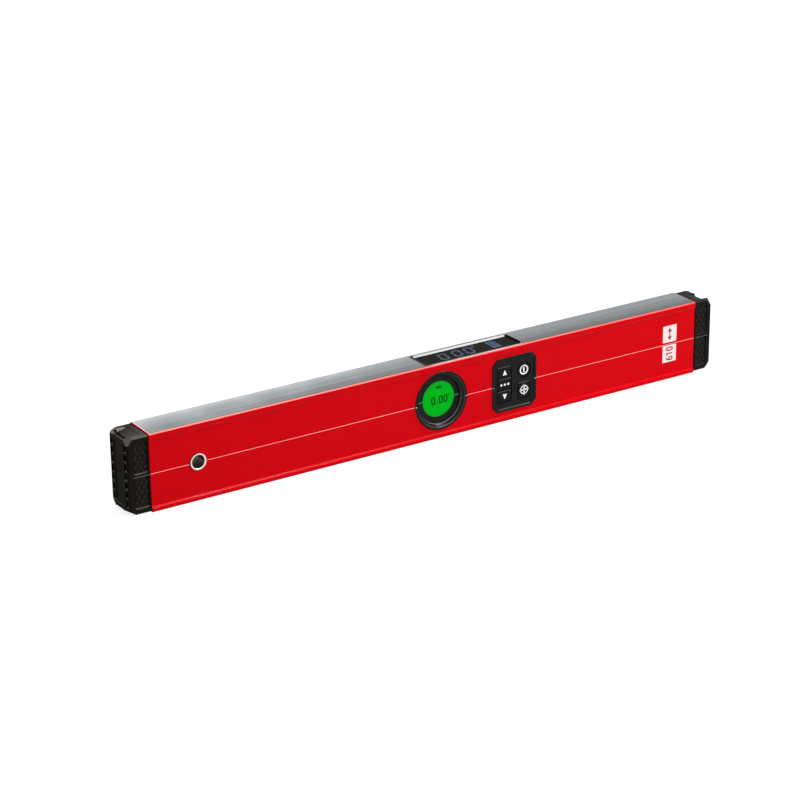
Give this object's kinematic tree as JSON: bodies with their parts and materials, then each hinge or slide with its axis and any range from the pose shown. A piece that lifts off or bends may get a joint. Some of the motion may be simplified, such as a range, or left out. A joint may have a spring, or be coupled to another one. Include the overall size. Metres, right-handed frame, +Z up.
{
  "type": "digital spirit level",
  "caption": "Straight red box beam with ribbed edges, black end bumpers, a round green angle display, a keypad beside it, a second display in the top face and a hang hole at one end.",
  "frame": {"origin": "middle of the lower measuring face", "axes": "+X along the beam to the user's right, +Y from the front face to the back, +Z up"},
  "size_m": [0.61, 0.034, 0.07],
  "materials": {
    "painted_beam": "satin",
    "sleeve_metal": "polished",
    "cap_rubber": "matte",
    "plug_plastic": "matte",
    "grip_rubber": "matte",
    "bezel_plastic": "satin",
    "seal_rubber": "matte",
    "lens_glass": "polished",
    "mask_film": "matte",
    "dial_lcd": "satin",
    "light_guide": "satin",
    "contact_rubber": "matte",
    "keypad_plastic": "satin",
    "key_rubber": "matte",
    "circuit_board": "satin",
    "switch_plastic": "matte",
    "sensor_can": "satin",
    "beeper_plastic": "satin",
    "chip_plastic": "matte",
    "socket_plastic": "matte",
    "ribbon_film": "satin",
    "window_glass": "polished",
    "top_lcd": "satin",
    "tray_plastic": "matte",
    "carrier_plastic": "matte",
    "cell_jacket": "satin",
    "contact_steel": "satin",
    "cover_plastic": "matte",
    "screw_steel": "satin"
  },
  "bodies": {
    "level": {"beam_profile": "painted_beam", "hang_sleeve": "sleeve_metal", "hang_sleeve_collar": "sleeve_metal", "left_end_cap": "cap_rubber", "right_end_cap": "cap_rubber", "left_cap_plug": "plug_plastic", "right_cap_plug": "plug_plastic", "left_cap_grips": "grip_rubber", "right_cap_grips": "grip_rubber", "display_bezel": "bezel_plastic", "bezel_seal": "seal_rubber", "display_lens": "lens_glass", "dial_mask": "mask_film", "dial_lcd": "dial_lcd", "dial_light_guide": "light_guide", "dial_contact_strips": "contact_rubber", "keypad_frame": "keypad_plastic", "keypad_seal": "seal_rubber", "main_board": "circuit_board", "tact_switches": "switch_plastic", "tilt_sensor": "sensor_can", "beeper": "beeper_plastic", "controller_chip": "chip_plastic", "ribbon_socket": "socket_plastic", "display_ribbon": "ribbon_film", "top_window": "window_glass", "top_window_seal": "seal_rubber", "top_lcd": "top_lcd", "top_light_guide": "light_guide", "top_display_tray": "tray_plastic", "module_carrier": "carrier_plastic", "battery_cells": "cell_jacket", "battery_contacts": "contact_steel"},
    "up_key": {"up_key": "key_rubber"},
    "menu_key": {"menu_key": "key_rubber"},
    "down_key": {"down_key": "key_rubber"},
    "power_key": {"power_key": "key_rubber"},
    "target_key": {"target_key": "key_rubber"},
    "battery_cover": {"battery_cover": "cover_plastic", "battery_cover_seal": "seal_rubber", "battery_cover_screws": "screw_steel"}
  },
  "joints": [
    {"name": "up_key_press", "type": "slide", "parent": "level", "child": "up_key", "axis": [0, 1, 0], "range_m": [0, 0.0008], "stiffness_N_per_m": 2500},
    {"name": "menu_key_press", "type": "slide", "parent": "level", "child": "menu_key", "axis": [0, 1, 0], "range_m": [0, 0.0008], "stiffness_N_per_m": 2500},
    {"name": "down_key_press", "type": "slide", "parent": "level", "child": "down_key", "axis": [0, 1, 0], "range_m": [0, 0.0008], "stiffness_N_per_m": 2500},
    {"name": "power_key_press", "type": "slide", "parent": "level", "child": "power_key", "axis": [0, 1, 0], "range_m": [0, 0.0008], "stiffness_N_per_m": 2500},
    {"name": "target_key_press", "type": "slide", "parent": "level", "child": "target_key", "axis": [0, 1, 0], "range_m": [0, 0.0008], "stiffness_N_per_m": 2500},
    {"name": "battery_cover_lift", "type": "slide", "parent": "level", "child": "battery_cover", "axis": [0, 1, 0], "range_m": [0, 0.03]}
  ]
}
